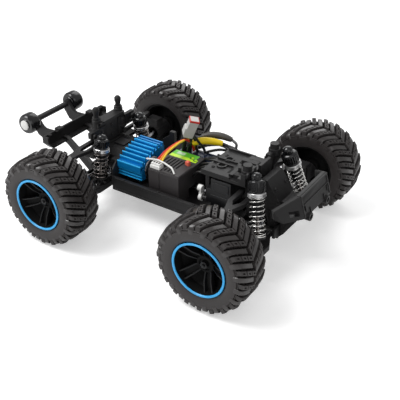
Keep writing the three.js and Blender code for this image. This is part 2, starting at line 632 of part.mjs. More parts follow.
piece('chassis_tub', tub(), 'plastic');
piece('battery_pack', box(-26, 26, 18.5, 32.6, 30.4, 58.8), 'plastic');
piece('rear_gearbox', rearGearbox(), 'plastic');
piece('front_gearbox', gearbox(AXLE_X, -1, [nose()], []), 'plastic');
piece('rear_shock_tower', rearTower(), 'plastic');
piece('front_shock_tower', frontTower(), 'plastic');
piece('front_bumper', frontBumper(), 'plastic');
piece('wheelie_bar', wheelieBar(), 'plastic');
piece('wheelie_wheel_left', wheelieWheel(1), 'rubber');
piece('wheelie_wheel_right', wheelieWheel(-1), 'rubber');
piece('motor', motor(), 'steel');
piece('motor_pinion', motorPinion(), 'brass');
piece('heat_sink', heatSink(), 'blue');
piece('centre_drive_shaft', centreShaft(), 'steel');
piece('front_differential', differential(AXLE_X, 1), 'steel');
piece('rear_differential', differential(-AXLE_X, -1), 'steel');
piece('radio_box', radioBox(), 'plastic');
piece('setup_button', box(
  BUTTON.x - BUTTON.half, BUTTON.x + BUTTON.half, BUTTON.y - BUTTON.half, BUTTON.y + BUTTON.half,
  RADIO.z1 - BUTTON.sunk, RADIO.z1 + BUTTON.proud,
), 'red');
piece('steering_servo', servo(), 'plastic');
piece('servo_arm', servoArm(), 'white');

const group = new THREE.Group();
group.add(truck);

export default group;
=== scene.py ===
"""Looks of the RC monster truck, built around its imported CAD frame.

Lengths in this script are millimetres in the truck's own frame: x = 0 at the middle of the wheelbase,
+X forwards, +Y to the truck's left, the ground at z = 0. They become metres in the row frame at the end.
"""

import math
import random

import bmesh
import bpy
from mathutils import Matrix, Vector


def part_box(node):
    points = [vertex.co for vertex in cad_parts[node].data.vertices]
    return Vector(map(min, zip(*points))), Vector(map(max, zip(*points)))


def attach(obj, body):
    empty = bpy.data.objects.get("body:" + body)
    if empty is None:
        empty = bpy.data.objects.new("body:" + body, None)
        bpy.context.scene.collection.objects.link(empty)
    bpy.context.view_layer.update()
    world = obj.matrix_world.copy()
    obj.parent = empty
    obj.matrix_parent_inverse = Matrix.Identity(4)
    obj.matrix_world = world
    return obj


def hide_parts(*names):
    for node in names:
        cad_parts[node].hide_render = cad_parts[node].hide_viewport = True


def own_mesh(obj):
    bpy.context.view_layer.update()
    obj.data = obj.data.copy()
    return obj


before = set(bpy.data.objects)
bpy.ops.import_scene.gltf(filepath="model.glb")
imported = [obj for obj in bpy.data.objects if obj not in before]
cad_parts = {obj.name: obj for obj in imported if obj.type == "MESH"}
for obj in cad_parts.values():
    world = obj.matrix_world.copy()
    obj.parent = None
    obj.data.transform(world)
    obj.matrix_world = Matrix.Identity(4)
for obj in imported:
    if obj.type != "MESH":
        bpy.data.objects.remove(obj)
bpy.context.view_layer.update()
random.seed(16)

MM = 0.001
SIDES = {"left": 1, "right": -1}


def middle(node):
    low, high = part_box(node)
    return [(a + b) / 2 / MM for a, b in zip(low, high)]


# ---- driving dimensions, read from the frame ----
FRONT = middle("tyre_front_left")
REAR = middle("tyre_rear_left")
SHIFT = (FRONT[0] + REAR[0]) / 2
AXLE_X = (FRONT[0] - REAR[0]) / 2
WHEEL_Y = FRONT[1]
TYRE_R = FRONT[2]
TYRE_HALF_W = 20
LIP_Y = 18
SPOKES = 5


# ---- mesh parts: each is (points, faces) in truck millimetres ----
def box(x0, x1, y0, y1, z0, z1):
    points = [(x, y, z) for x in (x0, x1) for y in (y0, y1) for z in (z0, z1)]
    faces = [(0, 1, 3, 2), (4, 6, 7, 5), (0, 4, 5, 1), (2, 3, 7, 6), (0, 2, 6, 4), (1, 5, 7, 3)]
    return points, faces


def prism(outline, axis, low, high):
    """An outline given in the two other axes, in X, Y, Z order, pulled from low to high along axis."""
    def place(pair, value):
        p = list(pair)
        p.insert("xyz".index(axis), value)
        return tuple(p)

    n = len(outline)
    points = [place(p, low) for p in outline] + [place(p, high) for p in outline]
    faces = [tuple(range(n))[::-1], tuple(range(n, 2 * n))]
    faces += [(i, (i + 1) % n, n + (i + 1) % n, n + i) for i in range(n)]
    return points, faces


def turned(profile, start, end, segments=32):
    """A solid of revolution; profile points are (radius, distance from start)."""
    start, end = Vector(start), Vector(end)
    turn = Vector((0, 0, 1)).rotation_difference(end - start)
    points, faces = [], []
    n = len(profile)
    for i in range(segments):
        angle = 2 * math.pi * i / segments
        for radius, along in profile:
            p = Vector((radius * math.cos(angle), radius * math.sin(angle), along))
            p.rotate(turn)
            points.append(tuple(p + start))
    closed = profile[0] == profile[-1]
    for i in range(segments):
        j = (i + 1) % segments
        for k in range(n - 1):
            faces.append((i * n + k, j * n + k, j * n + k + 1, i * n + k + 1))
    if not closed:
        faces.append(tuple(j * n for j in range(segments))[::-1])
        faces.append(tuple(j * n + n - 1 for j in range(segments)))
    return points, faces


def rod(start, end, radius, segments=20, chamfer=0.3):
    length = (Vector(end) - Vector(start)).length
    c = min(chamfer, radius / 3, length / 3)
    profile = [(radius - c, 0), (radius, c), (radius, length - c), (radius - c, length)]
    return turned(profile, start, end, segments)


def hexagon(start, end, radius):
    length = (Vector(end) - Vector(start)).length
    profile = [(radius * 0.9, 0), (radius, 0.3), (radius, length - 0.3), (radius * 0.9, length)]
    return turned(profile, start, end, 6)


def smooth_path(points, per_span=8):
    """Catmull-Rom curve through the given points."""
    ends = [points[0]] + list(points) + [points[-1]]
    path = []
    for a, b, c, d in zip(ends, ends[1:], ends[2:], ends[3:]):
        a, b, c, d = Vector(a), Vector(b), Vector(c), Vector(d)
        for i in range(per_span):
            t = i / per_span
            path.append(0.5 * (2 * b + (c - a) * t + (2 * a - 5 * b + 4 * c - d) * t * t
                               + (3 * b - a - 3 * c + d) * t ** 3))
    path.append(Vector(points[-1]))
    return path


def sweep(path, section, cap=True):
    """A section (list of (u, v)) carried along a path without twisting."""
    path = [Vector(p) for p in path]
    n = len(section)
    points, faces = [], []
    normal = None
    for i, p in enumerate(path):
        tangent = (path[min(i + 1, len(path) - 1)] - path[max(i - 1, 0)]).normalized()
        if normal is None:
            normal = tangent.orthogonal().normalized()
        normal = (normal - tangent * normal.dot(tangent)).normalized()
        other = tangent.cross(normal)
        points += [tuple(p + normal * u + other * v) for u, v in section]
    for i in range(len(path) - 1):
        for k in range(n):
            m = (k + 1) % n
            faces.append((i * n + k, i * n + m, (i + 1) * n + m, (i + 1) * n + k))
    if cap:
        faces.append(tuple(range(n))[::-1])
        faces.append(tuple(range(len(points) - n, len(points))))
    return points, faces


def circle(radius, sides=10):
    return [(radius * math.cos(2 * math.pi * k / sides), radius * math.sin(2 * math.pi * k / sides))
            for k in range(sides)]


def wire(points, radius, sides=10):
    return sweep(smooth_path(points), circle(radius, sides))


def moved(part, matrix):
    points, faces = part
    return [tuple(matrix @ Vector(p)) for p in points], faces


def mirrored(part):
    points, faces = part
    return [(x, -y, z) for x, y, z in points], [face[::-1] for face in faces]


def on_side(parts, side):
    return parts if side > 0 else [mirrored(part) for part in parts]


# ---- objects ----
def finish_object(obj, material, body, bevel, node, smooth):
    obj.data.materials.clear()
    obj.data.materials.append(material)
    for face in obj.data.polygons:
        face.use_smooth = True
    obj.data.set_sharp_from_angle(angle=math.radians(smooth))
    if bevel:
        rounding = obj.modifiers.new("rounded_edges", "BEVEL")
        rounding.width = bevel * MM
        rounding.segments = 2
        rounding.limit_method = "ANGLE"
        rounding.angle_limit = math.radians(38)
        rounding.harden_normals = True
    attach(obj, body)
    if node:
        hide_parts(*([node] if isinstance(node, str) else node))
    return obj


def piece(name, parts, material, body, bevel=0.3, node=None, slot=None, smooth=40):
    bm = bmesh.new()
    for points, faces in parts:
        verts = [bm.verts.new(((x + SHIFT) * MM, y * MM, z * MM)) for x, y, z in points]
        for face in faces:
            bm.faces.new([verts[i] for i in face])
    bmesh.ops.remove_doubles(bm, verts=bm.verts, dist=1e-6)
    bmesh.ops.recalc_face_normals(bm, faces=bm.faces)
    mesh = bpy.data.meshes.new(name)
    bm.to_mesh(mesh)
    bm.free()
    obj = bpy.data.objects.new(name, mesh)
    bpy.context.collection.objects.link(obj)
    return finish_object(obj, material, body, bevel, node, smooth)


def dressed(node, material, body, bevel=0.5, extra=(), smooth=40):
    """A copy of a CAD node with rounded edges and added detail, shown in its place."""
    bm = bmesh.new()
    bm.from_mesh(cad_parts[node].data)
    bmesh.ops.remove_doubles(bm, verts=bm.verts, dist=2e-6)
    bmesh.ops.dissolve_limit(bm, angle_limit=math.radians(1), verts=bm.verts, edges=bm.edges)
    for points, faces in extra:
        verts = [bm.verts.new(((x + SHIFT) * MM, y * MM, z * MM)) for x, y, z in points]
        new = [bm.faces.new([verts[i] for i in face]) for face in faces]
        bmesh.ops.recalc_face_normals(bm, faces=new)
    mesh = bpy.data.meshes.new(node + "_detailed")
    bm.to_mesh(mesh)
    bm.free()
    obj = bpy.data.objects.new(node + "_detailed", mesh)
    bpy.context.collection.objects.link(obj)
    return finish_object(obj, material, body, bevel, node, smooth)


# ---- materials ----
def surface(name, colour, roughness, metallic=0.0, grain=900, bump=0.15, vary=0.12, coat=0.0, dust=0.0,
            specular=0.5):
    """A moulded or metal surface: fine grain in its relief, and patchy gloss and colour."""
    material = bpy.data.materials.new(name)
    material.use_nodes = True
    nodes, links = material.node_tree.nodes, material.node_tree.links
    shader = nodes["Principled BSDF"]
    place = nodes.new("ShaderNodeTexCoord")
    shader.inputs["Metallic"].default_value = metallic
    shader.inputs["Coat Weight"].default_value = coat
    shader.inputs["Specular IOR Level"].default_value = specular

    patches = nodes.new("ShaderNodeTexNoise")
    patches.inputs["Scale"].default_value = 60
    patches.inputs["Detail"].default_value = 6
    links.new(place.outputs["Object"], patches.inputs["Vector"])

    gloss = nodes.new("ShaderNodeMapRange")
    gloss.inputs["To Min"].default_value = max(0.02, roughness - vary)
    gloss.inputs["To Max"].default_value = min(1.0, roughness + vary)
    links.new(patches.outputs["Fac"], gloss.inputs["Value"])
    links.new(gloss.outputs["Result"], shader.inputs["Roughness"])

    tint = nodes.new("ShaderNodeMix")
    tint.data_type = "RGBA"
    tint.inputs["A"].default_value = (*[c * (1 - 0.18) for c in colour], 1)
    tint.inputs["B"].default_value = (*[min(1, c * (1 + 0.18) + dust) for c in colour], 1)
    links.new(patches.outputs["Fac"], tint.inputs["Factor"])
    links.new(tint.outputs["Result"], shader.inputs["Base Color"])

    fine = nodes.new("ShaderNodeTexNoise")
    fine.inputs["Scale"].default_value = grain
    fine.inputs["Detail"].default_value = 3
    links.new(place.outputs["Object"], fine.inputs["Vector"])
    relief = nodes.new("ShaderNodeBump")
    relief.inputs["Strength"].default_value = bump
    relief.inputs["Distance"].default_value = 0.0003
    links.new(fine.outputs["Fac"], relief.inputs["Height"])
    links.new(relief.outputs["Normal"], shader.inputs["Normal"])
    return material


PLASTIC = surface("black_plastic", (0.013, 0.0125, 0.013), 0.48, grain=1400, bump=0.25, dust=0.003,
                  specular=0.3)
CASE_GREY = surface("radio_grey", (0.042, 0.038, 0.039), 0.5, grain=1200, bump=0.2, specular=0.35)
SATIN = surface("satin_black", (0.008, 0.008, 0.009), 0.36, grain=700, bump=0.05, specular=0.3)
GLOSS = surface("gloss_black", (0.006, 0.006, 0.007), 0.2, grain=500, bump=0.03, vary=0.06, coat=0.25,
                specular=0.4)
RUBBER = surface("tyre_rubber", (0.026, 0.022, 0.0215), 0.5, grain=1600, bump=0.3, dust=0.003, specular=0.5)
BAR_RUBBER = surface("bar_rubber", (0.026, 0.022, 0.0215), 0.3, grain=1200, bump=0.12, dust=0.003,
                     specular=0.6)
# The tread's floor: the tyre's rubber made darker, as painted shade between the lugs.
GROOVE_SHADE_RUBBER = surface("groove_painted_shade", (0.01, 0.009, 0.009), 0.8, grain=1600, bump=0.2, specular=0.15)
# An almost black material for painted shade: the rims' hollow parts, the deck's holes and the radio lid's
# slots.
SHADE_BLACK = surface("painted_shade_black", (0.004, 0.004, 0.004), 0.6, grain=700, bump=0.05, specular=0.15)
BLUE_RING = surface("blue_ring", (0.04, 0.42, 0.86), 0.32, grain=900, bump=0.03)
STEEL = surface("bright_steel", (0.62, 0.62, 0.64), 0.25, 1.0, grain=600, bump=0.05)
NICKEL = surface("nickel_spring", (0.78, 0.77, 0.75), 0.16, 1.0, grain=400, bump=0.03, vary=0.06)
DARK_CHROME = surface("dark_spring", (0.2, 0.18, 0.17), 0.2, 1.0, grain=400, bump=0.03, vary=0.06)
ALUMINIUM = surface("silver_collar", (0.72, 0.72, 0.72), 0.33, 1.0, grain=1200, bump=0.1)
BLUE_METAL = surface("blue_aluminium", (0.0, 0.2, 0.52), 0.38, 0.35, grain=1500, bump=0.12)
# A lighter blue for the fins' top edges: a painted highlight.
BLUE_HIGHLIGHT = surface("blue_fin_highlight", (0.02, 0.4, 0.8), 0.34, 0.2, grain=1500, bump=0.1)
BRASS = surface("brass", (0.6, 0.42, 0.14), 0.3, 1.0)
WHITE = surface("white_plastic", (0.78, 0.78, 0.76), 0.4, grain=700, bump=0.05)
GREY_PLUG = surface("grey_plug", (0.55, 0.54, 0.52), 0.45, grain=900, bump=0.1)
RED = surface("red_wire", (0.62, 0.03, 0.02), 0.4, grain=500, bump=0.05)
ORANGE = surface("orange_wire", (0.85, 0.26, 0.03), 0.4, grain=500, bump=0.05)
YELLOW_WIRE = surface("yellow_wire", (0.85, 0.6, 0.04), 0.4, grain=500, bump=0.05)
BLACK_WIRE = surface("black_wire", (0.012, 0.012, 0.012), 0.35, grain=500, bump=0.05)
YELLOW = surface("yellow_sleeve", (0.86, 0.62, 0.0), 0.42, grain=700, bump=0.1)
GREY_SLEEVE = surface("grey_sleeve", (0.05, 0.045, 0.04), 0.45, grain=700, bump=0.1)
CORAL = surface("button_coral", (0.85, 0.16, 0.1), 0.35, grain=600, bump=0.03)
BATTERY = surface("battery_wrap", (0.02, 0.03, 0.06), 0.25, grain=300, bump=0.1)
MOTOR_CAN = surface("motor_can", (0.5, 0.5, 0.52), 0.3, 1.0)
LABEL_LIME = surface("label_lime", (0.5, 0.8, 0.02), 0.35, grain=600, bump=0.03)
LABEL_GREEN = surface("label_green", (0.12, 0.5, 0.03), 0.35, grain=600, bump=0.03)
LABEL_PALE = surface("label_pale", (0.4, 0.55, 0.35), 0.35, grain=600, bump=0.03)
LABEL_DARK = surface("label_dark", (0.02, 0.16, 0.03), 0.35, grain=600, bump=0.03)


# ---- tyres and rims, drawn about their own centre with +Y outboard ----
PITCHES = 20
BLOCK_ROWS = (2.9, 9.0, 15.2)
BLOCK_HALF_Y = 2.75
BLOCK_HALF_ANGLE = math.radians(2.95)
BAR_HALF_ANGLE = math.radians(3.5)
OUTBOARD_STEP = 0.69
INBOARD_STEP = 0.235
CROWN_R = 38.0
TREAD_H = TYRE_R - CROWN_R


def carcass_radius(y):
    """The tyre's radius under its tread: flat in the middle, rounded off at the shoulders."""
    past = max(0.0, abs(y) - 10) / (TYRE_HALF_W - 11)
    return CROWN_R - 2.4 * past ** 2


def on_tyre(angle, y, height):
    radius = carcass_radius(y) + height
    return (radius * math.sin(angle), y, radius * math.cos(angle))


def tread_skew(y):
    """The tread's V: a row further from the middle lags behind it."""
    return math.radians(-0.73) * abs(y)


def block(angle, y, half_angle, half_y):
    """A square tread block with a small square dimple in its top."""
    def ring(share, height):
        corners = ((-1, -1), (1, -1), (1, 1), (-1, 1))
        return [on_tyre(angle + tread_skew(y + b * half_y * share) + a * half_angle * share,
                        y + b * half_y * share, height) for a, b in corners]

    points = ring(1.12, -0.8) + ring(1.0, TREAD_H - 0.4) + ring(0.9, TREAD_H)
    points += ring(0.38, TREAD_H) + ring(0.3, TREAD_H - 1.2)
    faces = [(16, 17, 18, 19), (0, 3, 2, 1)]
    for level in range(4):
        for k in range(4):
            m = (k + 1) % 4
            faces.append((level * 4 + k, level * 4 + m, level * 4 + 4 + m, level * 4 + 4 + k))
    return points, faces


# distance from the middle of the tread, and the lug's height there as a share of the tread's
BAR_STATIONS = ((1.0, 0.5), (2, 0.74), (6, 0.74), (10, 0.74), (14, 0.76), (17.2, 0.78), (18.9, 0.66),
                (19.5, 0.4))


def bar(angle, side):
    """A long smooth lug from near the middle, over the shoulder and down the sidewall."""
    points, faces = [], []
    for i, (y, share) in enumerate(BAR_STATIONS):
        half = BAR_HALF_ANGLE * (0.75 if i in (0, len(BAR_STATIONS) - 1) else 1.0)
        top = TREAD_H * share
        foot = min(-1.6, top - 1.6)
        for a, height in ((-1.12, foot), (-1, top - 0.5), (-0.75, top), (0.75, top), (1, top - 0.5),
                          (1.12, foot)):
            points.append(on_tyre(angle + tread_skew(y) + a * half, side * y, height))
    n = 6
    for i in range(len(BAR_STATIONS) - 1):
        for k in range(n):
            m = (k + 1) % n
            faces.append((i * n + k, i * n + m, (i + 1) * n + m, (i + 1) * n + k))
    faces.append(tuple(range(n)))
    faces.append(tuple(range(len(points) - n, len(points)))[::-1])
    return points, faces


def sidewall_parts():
    """The smooth rings each side, from the rim's lip to a thin raised line under the lugs."""
    parts = []
    for side in (1, -1):
        ring = [(25.2, 15), (25.2, 17.2), (26.2, 18.4), (28.5, 19.2), (32.5, 19.5), (35.6, 19.1),
                (35.9, 18.4), (36.3, 18.5), (36.9, 18.9), (37.2, 18.3), (36.6, 16.6), (34, 15), (25.2, 15)]
        parts.append(turned([(r, side * y) for r, y in ring], (0, 0, 0), (0, 1, 0), 96))
    return parts


def tread_base_parts():
    """The floor between the lugs, in a rubber darker than the lugs as painted shade."""
    crown = [(carcass_radius(y), y) for y in range(-17, 18, 2)]
    return [turned([(34, -17.6)] + crown + [(34, 17.6), (34, -17.6)], (0, 0, 0), (0, 1, 0), 96)]


def lug_parts():
    """The tread's square blocks and its long bars, as two lists."""
    blocks, bars = [], []
    step = 2 * math.pi / PITCHES
    for side, offset in ((1, OUTBOARD_STEP), (-1, INBOARD_STEP)):
        for i in range(PITCHES):
            angle = (i + offset) * step
            for y in BLOCK_ROWS:
                blocks.append(block(angle, side * y, BLOCK_HALF_ANGLE, BLOCK_HALF_Y))
            bars.append(bar(angle + step / 2, side))
    return blocks, bars


# radius, the spoke's two ribs' distance from its middle line, and their low and high edges
SPOKE_STATIONS = ((7.0, 2.4, 4.0, 7.6), (9.0, 3.0, 5.0, 8.5), (14, 3.35, 7.5, 12), (22.9, 3.9, 10, 15.3))


def spoke(angle):
    """A low web, then the two thin ribs beside it, rising outwards to the barrel."""
    points = []
    for radius, apart, low, _ in SPOKE_STATIONS:
        points += [(-apart, low, radius), (apart, low, radius), (apart, low + 1.8, radius),
                   (-apart, low + 1.8, radius)]
    parts = [stations_part(points)]
    for s in (-1, 1):
        points = []
        for radius, apart, low, high in SPOKE_STATIONS:
            x = s * apart
            points += [(x - 0.8, low, radius), (x + 0.8, low, radius), (x + 0.6, high, radius),
                       (x - 0.6, high, radius)]
        parts.append(stations_part(points))
    turn = Matrix.Rotation(angle, 4, "Y")
    return [moved(part, turn) for part in parts]


def stations_part(points):
    """A bar of four-cornered sections laid end to end, closed at both ends."""
    faces = []
    count = len(points) // 4
    for j in range(count - 1):
        for k in range(4):
            m = (k + 1) % 4
            faces.append((j * 4 + k, j * 4 + m, j * 4 + 4 + m, j * 4 + 4 + k))
    last = 4 * (count - 1)
    faces += [(0, 1, 2, 3), (last, last + 1, last + 2, last + 3)]
    return points, faces


def rim_parts(phase, cup):
    barrel = [(23.2, LIP_Y + 0.3), (24.9, LIP_Y + 0.3), (25, 16), (24, 14), (24, -14), (25, -16), (23, -16),
              (22.4, -12), (21.4, 4), (22.6, 12), (23.2, LIP_Y + 0.3)]
    hub = [(0.01, cup + 7), (5.2, cup + 7), (5.2, cup), (6.3, cup), (6.3, cup + 9), (2.6, cup + 9.5),
           (2.6, -8), (7, -8), (8.2, -4),
           (8.6, 4), (8.4, 7.4), (7.6, 8.3), (5.6, 8.5), (5.2, 7.4), (0.01, 7.4)]
    dish = [(7, -5), (7, -2), (9, -1), (21, 6.8), (22.2, 9), (22.8, 9), (22.8, 3), (7, -5)]
    # The barrel, hub, dish and webs go in the darker black, as painted shade in the wheel's hollow.
    dark = [turned(barrel, (0, 0, 0), (0, 1, 0), 72), turned(hub, (0, 0, 0), (0, 1, 0), 32),
            turned(dish, (0, 0, 0), (0, 1, 0), 48)]
    ribs = []
    for i in range(SPOKES):
        web, *pair = spoke(phase + 2 * math.pi * i / SPOKES)
        dark.append(web)
        ribs += pair
    return dark, ribs


def wheel_piece(name, parts, corner, side, material, **options):
    x = AXLE_X if corner.startswith("front") else -AXLE_X
    place = Matrix.Translation((x, WHEEL_Y, TYRE_R))
    placed = [moved(part, place) for part in parts]
    return piece(f"{name}_{corner}", on_side(placed, side), material, f"wheel_{corner}", **options)


BLOCK_PARTS, BAR_PARTS = lug_parts()
SIDEWALL_PARTS = sidewall_parts()
GROOVE_PARTS = tread_base_parts()
DRIVE_CUP_Y = {"front": 62, "rear": 61}
RIM_PHASE = {"front": math.radians(160), "rear": math.radians(180)}
RING_PARTS = [turned([(23.2, 17.9), (24.9, 17.9), (25.2, 18.5), (24.9, 19.1), (23.5, 19.1), (23.1, 18.5),
                      (23.2, 17.9)], (0, 0, 0), (0, 1, 0), 96)]
NUT_PARTS = [hexagon((0, 7.3, 0), (0, 10.6, 0), 3.6),
             rod((0, 8, 0), (0, 12, 0), 1.5)]
for end in ("front", "rear"):
    dark_parts, rib_parts = rim_parts(RIM_PHASE[end], DRIVE_CUP_Y[end] - WHEEL_Y)
    for side_name, side in SIDES.items():
        corner = f"{end}_{side_name}"
        wheel_piece("tyre_blocks", BLOCK_PARTS, corner, side, RUBBER, bevel=0, node=f"tyre_{corner}",
                    slot="tyre", smooth=32)
        wheel_piece("tyre_bars", BAR_PARTS, corner, side, BAR_RUBBER, bevel=0, slot="tyre", smooth=32)
        wheel_piece("tyre_sidewalls", SIDEWALL_PARTS, corner, side, RUBBER, bevel=0, slot="tyre", smooth=32)
        # The tread floor's darker rubber is painted shade between the lugs.
        wheel_piece("tyre_grooves", GROOVE_PARTS, corner, side, GROOVE_SHADE_RUBBER, bevel=0, slot="tyre")
        wheel_piece("rim_ribs", rib_parts, corner, side, SATIN, bevel=0.15, node=f"rim_{corner}",
                    slot="rim_plastic")
        # The rim's dish, barrel, hub and webs: the rim's own black, made deeper than the ribs as painted
        # shade in the wheel's hollow.
        wheel_piece("rim_dish", dark_parts, corner, side, SHADE_BLACK, bevel=0.15, slot="rim_plastic")
        wheel_piece("rim_ring", RING_PARTS, corner, side, BLUE_RING, bevel=0, slot="rim_plastic")
        wheel_piece("wheel_nut", NUT_PARTS, corner, side, SATIN, bevel=0.1, slot="bright_steel")


# ---- shock absorbers ----
SHOCKS = {
    "front": dict(top=(88.5, 27, 91.5), foot=(103, 45, 29.5), neck=6, cap=15.5, cap_r=7.6, collar=17,
                  collar_r=8.2,
                  tube_end=38, tube_r=5, spring=7.3, wire=0.55, cup=55, turns=9.5, travel=7.25,
                  material=NICKEL, slot="nickel_spring"),
    "rear": dict(top=(-79, 28.5, 80.5), foot=(-79, 36.8, 29), neck=4, cap=12, cap_r=7, collar=13.5,
                 collar_r=7.8, tube_end=30, tube_r=4.3, spring=7, wire=0.55, cup=42.5, turns=8, travel=5.42,
                 material=DARK_CHROME, slot="dark_spring"),
}


def knurled_cap(top, foot, s):
    """A ball-shaped eye on a shouldered cap with shallow upright flutes."""
    top, foot = Vector(top), Vector(foot)
    along = (foot - top).normalized()
    neck, rim = s["neck"], s["cap_r"] - 0.5
    parts = [turned([(0.01, -0.6), (2.6, 0), (4.2, 1.4), (4.6, 3), (4.2, neck - 0.4), (rim - 1.2, neck),
                     (rim - 0.2, neck + 0.8), (rim, neck + 1.6), (rim, s["cap"]),
                     (s["tube_r"] + 0.9, s["cap"] + 0.6),
                     (s["tube_r"] + 0.9, s["collar"] + 0.1)], top, foot, 36)]
    turn = Vector((0, 0, 1)).rotation_difference(along)
    for i in range(22):
        angle = 2 * math.pi * i / 22
        out = Vector((math.cos(angle), math.sin(angle), 0)) * (rim - 0.1)
        out.rotate(turn)
        parts.append(rod(top + out + along * (neck + 1.4), top + out + along * (s["cap"] - 0.4), 0.6, 8, 0.2))
    return parts


def coil(s, top, foot):
    top, foot = Vector(top), Vector(foot)
    turn = Vector((0, 0, 1)).rotation_difference(foot - top)
    start, end = s["collar"] + 3.6 + s["wire"], s["cup"] - s["wire"] - 0.1
    path = []
    steps = 26
    total = int(s["turns"] * steps)
    for i in range(total + 1):
        t = i / total
        flat = 0.8 / s["turns"]
        level = min(max((t - flat) / (1 - 2 * flat), 0), 1)
        height = start + (end - start) * level
        angle = 2 * math.pi * s["turns"] * t
        p = Vector(((s["spring"] - s["wire"]) * math.cos(angle), (s["spring"] - s["wire"]) * math.sin(angle),
                    height))
        p.rotate(turn)
        path.append(top + p)
    return sweep(path, circle(s["wire"], 10))


for end, s in SHOCKS.items():
    for side_name, side in SIDES.items():
        corner = f"{end}_{side_name}"
        top = (s["top"][0], s["top"][1] * side, s["top"][2])
        foot = (s["foot"][0], s["foot"][1] * side, s["foot"][2])
        length = (Vector(foot) - Vector(top)).length
        body = f"shock_body_{corner}"
        collar, cup = s["collar"], s["cup"]
        piece(f"shock_cap_{corner}", knurled_cap(top, foot, s), GLOSS, body, bevel=0, node=body,
              slot="shock_cap")
        r = s["collar_r"]
        piece(f"shock_collar_{corner}", [turned([
            (s["tube_r"] + 0.3, collar), (r - 0.4, collar), (r, collar + 0.4), (r, collar + 1.4),
            (r - 0.5, collar + 1.6), (r - 0.5, collar + 2.1), (r, collar + 2.3), (r, collar + 3.1),
            (r - 0.4, collar + 3.5), (s["tube_r"] + 0.3, collar + 3.5), (s["tube_r"] + 0.3, collar)],
            top, foot, 40)], ALUMINIUM, body, bevel=0, slot="bright_steel")
        threads = []
        for i in range(int((s["tube_end"] - collar - 3.5) / 1.2)):
            z = collar + 3.5 + i * 1.2
            threads += [(s["tube_r"] - 0.1, z), (s["tube_r"] - 0.1, z + 0.5), (s["tube_r"] - 0.35, z + 0.75),
                        (s["tube_r"] - 0.35, z + 0.95)]
        threads = [(1.9, collar + 3.5)] + threads + [(1.9, s["tube_end"])]
        piece(f"shock_tube_{corner}", [turned(threads, top, foot, 28)], SATIN, body, bevel=0,
              slot="shock_cap")
        spring = piece(f"shock_coil_{corner}", [coil(s, top, foot)], s["material"], body, bevel=0,
                       node=f"shock_spring_{corner}", slot=s["slot"], smooth=60)
        axis = Vector(top) - Vector(foot)
        axis.normalize()
        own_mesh(spring)
        rod_body = f"shock_rod_{corner}"
        piece(f"shock_shaft_{corner}", [turned([(1.5, s["tube_end"] - 6), (1.5, length - 3)], top, foot, 20)],
              DARK_CHROME, rod_body, bevel=0, node=rod_body, slot="shock_rod_steel")
        e = s["spring"] - 0.3
        eye_along = Vector((4, 0, 0))
        lower = [turned([(1.8, cup), (e, cup), (e, cup + 1.4), (e - 1.6, cup + 2.2), (2.4, cup + 2.6),
                         (2.4, length - 1)], top, foot, 28),
                 turned([(3.4, -2.2), (3.6, -1.6), (3.6, 1.6), (3.4, 2.2)], foot, Vector(foot) + eye_along,
                        24)]
        piece(f"shock_foot_{corner}", lower, PLASTIC, rod_body, bevel=0.15, slot="black_plastic")


# ---- chassis ----
def screw(x, y, z, axis=(0, 0, 1), radius=1.7):
    """A screw's head: a low dome with a round recess."""
    start, out = Vector((x, y, z)), Vector(axis).normalized()
    profile = [(radius, -0.2), (radius, 0.5), (radius * 0.8, 0.95), (radius * 0.42, 1.05),
               (radius * 0.36, 0.5), (0.01, 0.5)]
    return turned(profile, start, start + out, 16)


def ribs(x_list, y0, y1, z0, z1, half=0.5):
    return [box(x - half, x + half, y0, y1, z0, z1) for x in x_list]


def both(parts):
    return parts + [mirrored(part) for part in parts]


TUB_DETAIL = both([
    box(-62, 44, 34.9, 35.5, 29.5, 31),
    prism([(-60, 35), (40, 35), (40, 36.8), (-60, 36.8)], "z", 42.4, 43.3),
]) + [screw(x, y, 43.2) for x in (-50, -10, 30) for y in (-35.6, 35.6)]
TUB_DETAIL.append(prism([(-34.5, 40), (-34.5, 50), (-28, 57), (-16, 59), (-16, 40)], "x", -65.2, -63.4))
dressed("chassis_tub", PLASTIC, "chassis", 0.5, TUB_DETAIL)
dressed("battery_pack", BATTERY, "chassis", 2.5, ())
dressed("motor", MOTOR_CAN, "chassis", 0.3, ())
dressed("motor_pinion", BRASS, "pinion", 0.1, ())
dressed("centre_drive_shaft", STEEL, "drive_shaft", 0.1, ())
dressed("front_differential", STEEL, "front_diff", 0.2, ())
dressed("rear_differential", STEEL, "rear_diff", 0.2, ())

REAR_GEARBOX_DETAIL = [screw(x, y, 60, radius=1.6) for x in (-98, -80, -69) for y in (-11, 11)]
REAR_GEARBOX_DETAIL += [box(-84, -72, -6, 6, 59.8, 61.6), box(-90, -87, -14, 14, 59.8, 61)]
REAR_GEARBOX_DETAIL += both(ribs((-99, -92, -85, -78, -71), 20.8, 24.5, 50.5, 56))
dressed("rear_gearbox", PLASTIC, "chassis", 0.6, REAR_GEARBOX_DETAIL)
FRONT_GEARBOX_DETAIL = both(ribs((76, 82, 88, 94, 100), 12.4, 13.4, 38, 50))
FRONT_GEARBOX_DETAIL += [screw(98.6, y, 69, (1, 0, 0.71)) for y in (-9, 9)]
FRONT_GEARBOX_DETAIL.append(box(94, 103, -13.6, -12.6, 52, 58))
dressed("front_gearbox", PLASTIC, "chassis", 0.6, FRONT_GEARBOX_DETAIL)

